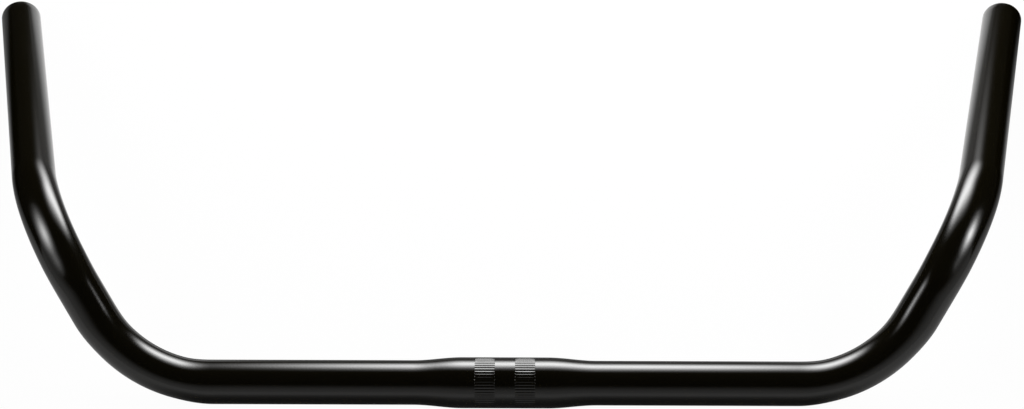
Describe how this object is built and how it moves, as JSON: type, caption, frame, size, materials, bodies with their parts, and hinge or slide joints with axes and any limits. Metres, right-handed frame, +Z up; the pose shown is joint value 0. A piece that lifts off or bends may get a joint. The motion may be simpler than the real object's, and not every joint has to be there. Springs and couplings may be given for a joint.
{
  "type": "swept-back handlebar",
  "caption": "Swept-back bicycle handlebar: one bent tube with a swaged, knurled clamp section, two rises and two long grip lengths that sweep back.",
  "frame": {"origin": "middle of the clamp section, on its axis", "axes": "+X along the clamp axis, +Y back to the rider, +Z up as the bar lies on a table on the underside of its clamp section and the rims of its open ends"},
  "size_m": [0.5934, 0.2868, 0.0776],
  "materials": {
    "gloss_paint": "gloss black paint over a smooth steel tube"
  },
  "bodies": {
    "root": {"handlebar": "gloss_paint"}
  },
  "joints": []
}
